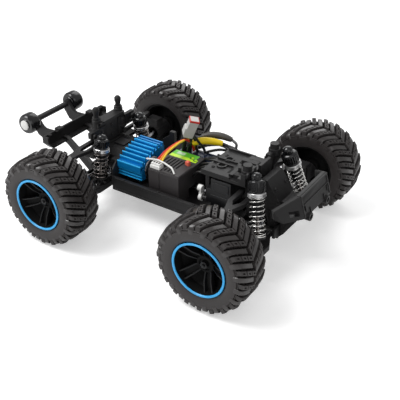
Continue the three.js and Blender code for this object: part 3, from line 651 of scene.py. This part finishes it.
REAR_TOWER_DETAIL = both([
    prism([(9, 63), (18, 63), (18, 80), (9, 80)], "x", -90.9, -90.2),
    box(-99.5, -92, 10, 23, 66, 70),
    rod((-95.6, 16.6, 68), (-95.6, 16.6, 71), 8, 24),
    rod((-95.6, 16.6, 71), (-95.6, 16.6, 78), 5.6, 24),
    rod((-95.6, 16.6, 87.4), (-95.6, 16.6, 89.6), 4, 20),
]) + [box(-99.6, -88.6, -14, 14, 84.2, 85.3), screw(-90.9, 0, 76, (1, 0, 0)), screw(-90.9, 0, 66, (1, 0, 0))]
dressed("rear_shock_tower", PLASTIC, "chassis", 0.5, REAR_TOWER_DETAIL)

FRONT_DETAIL = both([
    prism([(31, 3), (52, 3), (52, 4.2), (31, 4.2)], "z", 73.9, 75.6),
    prism([(31, 22.5), (60, 22.5), (60, 24.2), (31, 24.2)], "z", 73.9, 76),
    turned([(3.2, 0), (4.8, 0), (4.8, 1.4), (3.2, 1.4), (3.2, 0)], (41.8, 6.5, 73.8), (41.8, 6.5, 74.8), 24),
    box(57, 61, 5, 20, 73.9, 77),
    box(62, 75, 8, 12, 73.5, 81),
    prism([(12, 60), (16, 60), (24, 84), (20, 84)], "x", 80.2, 82),
    rod((78, 23.7, 84), (78, 23.7, 89.6), 5.4, 24),
    rod((80, 27, 86), (82.2, 27, 86), 3.6, 20),
    box(70, 75.6, 20, 27, 76, 80),
]) + [box(80.2, 83, -9, 9, 74, 88), box(60, 78, -3, 3, 73.5, 84), screw(36, 12, 74), screw(36, -12, 74)]
dressed("front_shock_tower", PLASTIC, "chassis", 0.5, FRONT_DETAIL)
piece("deck_hole_shade", [rod((41.8, y, 73.2), (41.8, y, 74.1), 3.25, 24) for y in (-6.5, 6.5)]
      + [box(52, 56, y - 4, y + 4, 73.4, 74.1) for y in (-10.3, 10.3)], SHADE_BLACK, "chassis", bevel=0,
      slot="black_plastic")

def on_bumper(y, z, proud):
    """A point on the bumper's leaning front face, or that far in front of it."""
    share = (z - BUMPER_LOW[1]) / (BUMPER_HIGH[1] - BUMPER_LOW[1])
    x = BUMPER_LOW[0] + (BUMPER_HIGH[0] - BUMPER_LOW[0]) * share
    return (x + proud, y, z)


def bumper_pad(y0, y1, z0, z1, proud=0.7):
    """A thin raised panel that follows the leaning face."""
    points = [on_bumper(y, z, out) for y in (y0, y1) for z in (z0, z1) for out in (-0.6, proud)]
    return points, box(0, 1, 0, 1, 0, 1)[1]


BUMPER_LOW, BUMPER_HIGH, BUMPER_HALF = (135, 60.6), (129, 80.5), 24.5
BUMPER_DETAIL = both([
    bumper_pad(BUMPER_HALF - 1.4, BUMPER_HALF, 62, 79.4),
    bumper_pad(20, 20.8, 65.6, 72.2, 0.9),
    bumper_pad(12.2, 13.4, 61, 66, 0.9),
])
BUMPER_DETAIL += [bumper_pad(-BUMPER_HALF, BUMPER_HALF, 79.2, 80.5, 1.0),
                  bumper_pad(-BUMPER_HALF, BUMPER_HALF, 71.6, 72.3)]
dressed("front_bumper", PLASTIC, "chassis", 0.5, BUMPER_DETAIL)

BEAM_DETAIL = both([
    box(-144.1, -143.3, 22, 43, 65.2, 66.4),
    box(-144.1, -143.3, 22, 36, 54.4, 55.4),
    screw(-139, 28, 67, (0, 0, 1)),
    screw(-139, 38, 67, (0, 0, 1)),
]) + [box(-144.1, -143.3, -18, 18, 65.2, 66.4), box(-144.1, -143.3, -18, 18, 54.4, 55.4)]
dressed("wheelie_bar", PLASTIC, "chassis", 0.5, BEAM_DETAIL)

WHEELIE_R = 10.3
WHEELIE_HALF_W = 6.8
WHEELIE = middle("wheelie_wheel_left")
WHEELIE[0] -= SHIFT
for side_name, side in SIDES.items():
    x, y, z = WHEELIE
    r, half = WHEELIE_R, WHEELIE_HALF_W
    wheelie_profile = [(2.4, -half), (5.6, -half), (6, -half + 0.5), (r - 1.4, -half + 0.5),
                       (r - 0.4, -half + 1.8),
                       (r, -half + 3.4), (r, half - 3.4), (r - 0.4, half - 1.8), (r - 1.4, half - 0.5),
                       (6, half - 0.5), (5.6, half), (2.4, half), (2.4, -half)]
    piece(f"wheelie_tyre_{side_name}", on_side([turned(wheelie_profile, (x, y, z), (x, y + 1, z), 48)], side),
          GLOSS, f"wheelie_wheel_{side_name}", bevel=0, node=f"wheelie_wheel_{side_name}",
          slot="wheelie_rubber")
    cap = [turned([(4.7, half - 0.3), (5.1, half + 0.2), (4.9, half + 1.2), (3.8, half + 1.7),
                   (0.01, half + 1.75)],
                  (x, y, z), (x, y + 1, z), 32)]
    piece(f"wheelie_cap_{side_name}", on_side(cap, side), WHITE,
          f"wheelie_wheel_{side_name}", bevel=0, slot="white_plastic")


# ---- suspension links ----
for end in ("front", "rear"):
    for side_name, side in SIDES.items():
        corner = f"{end}_{side_name}"
        x = AXLE_X if end == "front" else -AXLE_X
        web = [box(x - 14.6, x - 13, 22, 30, 31.4, 34), box(x + 13, x + 14.6, 22, 28, 31.4, 34),
               prism([(x - 14.4, 30), (x - 9.8, 57), (x - 8.2, 57), (x - 12.8, 30)], "z", 31.4, 34),
               prism([(x + 14.4, 44), (x + 9.8, 57), (x + 8.2, 57), (x + 12.6, 44)], "z", 31.4, 34),
               rod((x + 10, 62, 28), (x + 11.4, 62, 28), 1.9, 16),
               rod((x - 11.4, 62, 28), (x - 10, 62, 28), 1.9, 16)]
        dressed(f"lower_arm_{corner}", PLASTIC, f"lower_arm_{corner}", 0.4, on_side(web, side))
        dressed(f"upper_arm_{corner}", PLASTIC, f"upper_arm_{corner}", 0.5, ())
        dressed(f"hub_carrier_{corner}", PLASTIC, f"hub_{corner}", 0.5, ())
        dressed(f"driveshaft_{corner}", STEEL, f"driveshaft_{corner}", 0.1, ())
for side_name, side in SIDES.items():
    dressed(f"steering_knuckle_{side_name}", PLASTIC, f"knuckle_{side_name}", 0.4, ())
    dressed(f"tie_rod_{side_name}", STEEL, f"tie_rod_{side_name}", 0.2, ())


# ---- electrics ----
FIN_TOPS = ((0.4, 69.4), (-4.8, 68.3), (-9.4, 67.0), (-14.2, 65.6), (-19.0, 64.2), (-23.0, 61.5),
            (-27.2, 57.9))
SIDE_FIN_ZS = (49.4, 46.2, 43)
FIN_REAR, FIN_FRONT = -63, -35.5


def fin_parts():
    """Thin upright fins, each with its own height, then flat side fins under a ledge."""
    parts = [prism([(y - 0.7, z - 7), (y + 0.7, z - 7), (y + 0.7, z - 0.8), (y - 0.7, z - 0.8)], "x",
                   FIN_REAR, FIN_FRONT)
             for y, z in FIN_TOPS]
    for z in SIDE_FIN_ZS:
        parts.append(prism([(-22.6, z - 0.8), (-26.2, z - 0.6), (-26.4, z), (-26.2, z + 0.6),
                            (-22.6, z + 0.8)],
                           "x", FIN_REAR, FIN_FRONT))
    return parts


def fin_highlight_strips():
    """The fins' rounded top edges, in a lighter blue as a painted highlight."""
    parts = []
    for y, z in FIN_TOPS:
        outline = [(y - 0.72, z - 1.0), (y + 0.72, z - 1.0), (y + 0.6, z - 0.25), (y, z), (y - 0.6, z - 0.25)]
        parts.append(prism(outline, "x", FIN_REAR - 0.1, FIN_FRONT + 0.1))
    for z in SIDE_FIN_ZS:
        outline = [(-26.0, z - 0.62), (-26.5, z - 0.5), (-26.7, z), (-26.5, z + 0.5), (-26.0, z + 0.62)]
        parts.append(prism(outline, "x", FIN_REAR - 0.1, FIN_FRONT + 0.1))
    return parts


dressed("heat_sink", BLUE_METAL, "chassis", 0.15, fin_parts())
# The fins' top edges in lighter blue are a painted highlight.
piece("heat_sink_highlights", fin_highlight_strips(), BLUE_HIGHLIGHT, "chassis", bevel=0, slot="blue_aluminium")

RADIO_TOP = 60
BUTTON = middle("setup_button")
BUTTON[0] -= SHIFT
SLOT_XS = (-22, -18, -14.2, -10.6, -6.9, -3.3)
RADIO_DETAIL = [box(-26.2, -14.2, -27.5, -26.8, 41, 59.2), box(-12.8, 8.2, -27.5, -26.8, 41, 59.2),
                box(-26.1, 8.1, -26.2, 17.2, 41, 58.6)]
dressed("radio_box", CASE_GREY, "chassis", 0.5, RADIO_DETAIL)


def land(x0, x1, y0, y1):
    """A raised strip of the radio box's lid, beside or between the dark slots."""
    return box(x0, x1, y0, y1, RADIO_TOP - 0.1, RADIO_TOP + 0.6)


lands = [land(x - 2.75, x - 0.95, -15, 1.4) for x in SLOT_XS]
lands += [land(SLOT_XS[-1] + 0.9, 7.4, -26.4, -4.6),
          land(SLOT_XS[-1] + 0.9, 0.6, -4.7, 1.4),
          land(-25.4, 0.6, 1.3, 3.4),
          land(-13, SLOT_XS[-1] + 1, -18.6, -14.8),
          land(-13, SLOT_XS[-1] + 1, -26.4, -23.4)]
lands += [land(x - 2.75, x - 0.95, -23.5, -18.5) for x in SLOT_XS[3:]]
piece("radio_vents", lands, CASE_GREY, "chassis", bevel=0.15, slot="radio_case")
piece("radio_vent_shade", [box(-25.2, SLOT_XS[-1] + 1, -23.6, 1.4, RADIO_TOP - 0.1, RADIO_TOP + 0.12)],
      SHADE_BLACK, "chassis", bevel=0, slot="radio_case")
piece("setup_button_cap", [box(BUTTON[0] - 1.9, BUTTON[0] + 1.9, BUTTON[1] - 1.9, BUTTON[1] + 1.9, 58.2,
                               64.1),
                           box(BUTTON[0] - 1.4, BUTTON[0] + 1.4, BUTTON[1] - 1.4, BUTTON[1] + 1.4, 64, 64.5)],
      CORAL, "button", bevel=0.3, node="setup_button", slot="button_coral")
piece("radio_label_band", [box(-25, 2.5, 9.4, 17.4, RADIO_TOP, RADIO_TOP + 0.25)], LABEL_GREEN, "chassis",
      bevel=0.1, slot="radio_case")
piece("radio_label_edge", [box(-25, 5.5, 4.6, 9.4, RADIO_TOP, RADIO_TOP + 0.25)], LABEL_LIME, "chassis",
      bevel=0.1, slot="radio_case")
marks = [rod((x, y, 60.1), (x, y, 60.36), r, 24) for x, y, r in ((-2.4, 10.8, 2.5), (2.6, 8.6, 2.3))]
piece("radio_label_marks", marks, LABEL_DARK, "chassis", bevel=0.02, slot="radio_case")
holes = [rod((x, y, 60.1), (x, y, 60.46), r, 24) for x, y, r in ((-2.0, 11.2, 1.5), (3.0, 9.0, 1.4))]
piece("radio_label_centres", holes, LABEL_LIME, "chassis", bevel=0.02, slot="radio_case")
piece("radio_label_pale", [box(-21, -12, 11, 15.6, 60.1, 60.35)], LABEL_PALE, "chassis", bevel=0.05,
      slot="radio_case")

dressed("steering_servo", SATIN, "chassis", 0.5,
        [box(40.5, 62.5, -24.5, -23.8, 50, 53), box(43, 60, -24.6, -23.9, 58, 66)])
dressed("servo_arm", WHITE, "servo_arm", 0.4, [rod((25, -20, 53), (26, -20, 53), 1.4, 16)])

# leads: the battery's plug stands up in the middle, with sleeved joints beside it
PLUG_LOW, PLUG_HIGH = Vector((-12, 17, 79)), Vector((-4, 17.5, 98))


def oriented_box(low, high, half_u, half_v):
    section = [(half_u, half_v), (-half_u, half_v), (-half_u, -half_v), (half_u, -half_v)]
    return sweep([low, high], section)


piece("battery_plug", [oriented_box(PLUG_LOW, PLUG_HIGH, 4.6, 4.0),
                       oriented_box(PLUG_LOW + Vector((0, 0, 2)), PLUG_LOW + Vector((3.4, 0.3, 10)), 5.2,
                                    4.4)],
      GREY_PLUG, "chassis", bevel=0.6, slot="white_plastic")
piece("battery_plug_rim", [oriented_box(PLUG_HIGH - Vector((0.6, 0, 1.5)),
                                        PLUG_HIGH + Vector((0.1, 0, 0.25)), 4.75,
                                        4.15)], RED, "chassis", bevel=0.3, slot="button_coral")
piece("battery_plug_face", [oriented_box(PLUG_HIGH, PLUG_HIGH + Vector((0.25, 0, 0.6)), 4.0, 3.4)], GREY_PLUG,
      "chassis", bevel=0.2, slot="white_plastic")
for i, dy in enumerate((-2.4, -0.8, 0.8, 2.4)):
    piece(f"battery_lead_{i}", [wire([(-20 + i, 22 + dy, 58.2), (-18, 20 + dy, 64), (-15.5, 18 + dy, 72),
                                      PLUG_LOW + Vector((0, dy, 0.5))], 0.95)], BLACK_WIRE, "chassis",
          bevel=0, slot="black_plastic")

piece("signal_plug", [box(-25.4, -14.6, -25.6, -18.6, 60.1, 63.4),
                      box(-24.9, -15.1, -24.4, -18.9, 63.2, 65.4)],
      WHITE, "chassis", bevel=0.35, slot="white_plastic")
# Dark grey patches on the plug's top: painted shade for the socket openings.
piece("signal_socket_shade", [box(x - 0.8, x + 0.8, -23.2, -20.4, 65.3, 65.6) for x in (-22.8, -20, -17.2)],
      GREY_SLEEVE, "chassis", bevel=0.1, slot="black_plastic")
for i, (material, dy) in enumerate(((RED, -1.5), (ORANGE, 0.0), (YELLOW_WIRE, 1.5))):
    piece(f"signal_wire_{i}", [wire([(-22.8 + i * 2.8, -18.8, 64.2), (-22.4 + i * 2.2, -14, 66.5),
                                     (-21.2 + i * 1.6, -6, 70), (-18.6 + i * 1.2, 4, 73),
                                     (-15 + 0.6 * i, 12, 75),
                                     (-12, 17 + dy, 75), (-9.5, 22 + dy, 70), (-10, 26 + dy, 60)], 1.0)],
          material, "chassis", bevel=0, slot="button_coral")
piece("antenna_wire", [wire([(-34.2, -18.7, 63.8), (-28, -19.2, 65.4), (-21.4, -19.4, 66.6),
                             (-14, -19.8, 66.2),
                             (-8, -20.4, 65), (-3, -21.6, 64), (1.6, -24.4, 61)], 0.85)], WHITE, "chassis",
      bevel=0, slot="white_plastic")


SLEEVE_SIDES = 14


def sleeve(points, radius):
    """Shrink sleeving over a joint: a fuller middle with necked ends."""
    path = smooth_path(points, 10)
    n = len(path)
    base, faces = sweep(path, circle(1.0, SLEEVE_SIDES))
    swollen = []
    for i in range(n):
        t = i / (n - 1)
        swell = radius * (0.55 + 0.45 * math.sin(math.pi * min(max(t, 0.04), 0.96)) ** 0.45)
        for k in range(SLEEVE_SIDES):
            p = Vector(base[i * SLEEVE_SIDES + k])
            swollen.append(tuple(path[i] + (p - path[i]) * swell))
    return [(swollen, faces)]


piece("yellow_sleeve", sleeve([(-8, 20, 71), (-1, 24, 73.5), (8, 29, 73.5), (17, 34, 71.5)], 3.5), YELLOW,
      "chassis", bevel=0, slot="button_coral")
piece("grey_sleeve", sleeve([(-6, 33, 73), (3, 38, 75), (13, 41, 75), (22, 43, 73)], 3.4), GREY_SLEEVE,
      "chassis", bevel=0, slot="black_plastic")
LOOPS = [
    [(17, 34, 71.5), (24, 35, 69), (27, 30, 65), (22, 22, 62), (12, 17, 62)],
    [(22, 43, 73), (29, 40, 71), (30, 33, 67), (25, 25, 63), (14, 20, 62)],
    [(-8, 20, 71), (-12, 19, 67), (-14, 20, 60)],
    [(-6, 33, 73), (-12, 30, 70), (-16, 26, 62), (-16, 25, 59)],
    [(10, 15, 62), (18, 12, 64), (26, 14, 66), (28, 22, 64), (22, 29, 60), (14, 31, 59.5)],
    [(-9, 18, 79), (-9, 19, 72), (-11, 21, 66), (-13, 24, 59)],
    [(-6, 19, 80), (-5, 21, 72), (-6, 24, 66), (-8, 28, 59)],
    [(-4, 18, 80), (-1, 20, 74), (2, 23, 68), (2, 27, 60)],
    [(-10, 26, 62), (0, 31, 67), (12, 34, 69), (24, 34, 67), (31, 27, 62)],
    [(-8, 30, 61), (4, 36, 66), (17, 39, 68), (29, 36, 66), (33, 28, 62)],
    [(-12, 33, 60), (2, 40, 63), (16, 43, 65), (30, 41, 64), (36, 30, 60)],
    [(2, 29, 60), (12, 37, 62), (24, 39, 62), (32, 33, 60), (34, 24, 58)],
    [(9, 10, 57), (14, 8, 61), (22, 9, 63), (27, 15, 61), (27, 22, 57), (20, 27, 59.5)],
    [(9, 5, 54), (15, 2, 60), (22, 3, 63), (28, 8, 62), (32, 14, 58)],
    [(9, -4, 52), (14, -6, 58), (20, -6, 60), (28, -3, 58), (35, 2, 54)],
]
for i, points in enumerate(LOOPS):
    piece(f"black_lead_{i}", [wire(points, 1.3)], BLACK_WIRE, "chassis", bevel=0, slot="black_plastic")


# ---- floor, light and camera ----
SKY = 0.5
FLOOR_GLOW = 0.4


def stage():
    bpy.ops.mesh.primitive_plane_add(size=8, location=(0, 0, -0.0003))
    floor = bpy.context.object
    floor.name = "floor"
    material = bpy.data.materials.new("floor_white")
    material.use_nodes = True
    nodes, links = material.node_tree.nodes, material.node_tree.links
    shader = nodes["Principled BSDF"]
    shader.inputs["Base Color"].default_value = (0.9, 0.9, 0.9, 1)
    shader.inputs["Roughness"].default_value = 0.8
    shader.inputs["Specular IOR Level"].default_value = 0.1
    shader.inputs["Emission Color"].default_value = (1, 1, 1, 1)
    seen = nodes.new("ShaderNodeLightPath")
    glow = nodes.new("ShaderNodeMath")
    glow.operation = "MULTIPLY"
    glow.inputs[1].default_value = FLOOR_GLOW
    links.new(seen.outputs["Is Camera Ray"], glow.inputs[0])
    links.new(glow.outputs["Value"], shader.inputs["Emission Strength"])
    floor.data.materials.append(material)
    world = bpy.data.worlds.new("studio")
    world.use_nodes = True
    world.node_tree.nodes["Background"].inputs["Color"].default_value = (1, 1, 1, 1)
    world.node_tree.nodes["Background"].inputs["Strength"].default_value = SKY
    bpy.context.scene.world = world


def area_light(name, place, target, size, power):
    light = bpy.data.lights.new(name, "AREA")
    light.size = size
    light.energy = power
    obj = bpy.data.objects.new(name, light)
    obj.location = place
    obj.rotation_euler = (Vector(target) - Vector(place)).to_track_quat("-Z", "Y").to_euler()
    bpy.context.collection.objects.link(obj)


# The photograph's view, from a camera fitted to the wheels: in front of, right of and above the truck.
CAMERA_AZIMUTH = math.radians(33.6)
CAMERA_ELEVATION = math.radians(32.11)
CAMERA_TARGET = (9.77, 5.95, 19.99)
CAMERA_DISTANCE = 0.71937
CAMERA_LENS = 66.71


def camera():
    azimuth, elevation = CAMERA_AZIMUTH, CAMERA_ELEVATION
    back = Vector((math.sin(azimuth) * math.cos(elevation), -math.cos(azimuth) * math.cos(elevation),
                   math.sin(elevation)))
    x, y, z = CAMERA_TARGET
    target = Vector(((x + SHIFT) * MM, y * MM, z * MM))
    data = bpy.data.cameras.new("camera")
    data.lens = CAMERA_LENS
    obj = bpy.data.objects.new("camera", data)
    obj.location = target + back * CAMERA_DISTANCE
    obj.rotation_euler = (-back).to_track_quat("-Z", "Y").to_euler()
    bpy.context.collection.objects.link(obj)
    bpy.context.scene.camera = obj


stage()
area_light("key", (-0.7, -0.5, 1.3), (0, 0, 0), 0.8, 17)
area_light("front_fill", (0.9, -0.6, 0.7), (0, 0, 0.03), 0.7, 1.5)
area_light("back_rim", (-0.3, 0.9, 0.7), (0, 0, 0.05), 0.8, 4)
camera()
bpy.context.scene.view_settings.view_transform = "Standard"
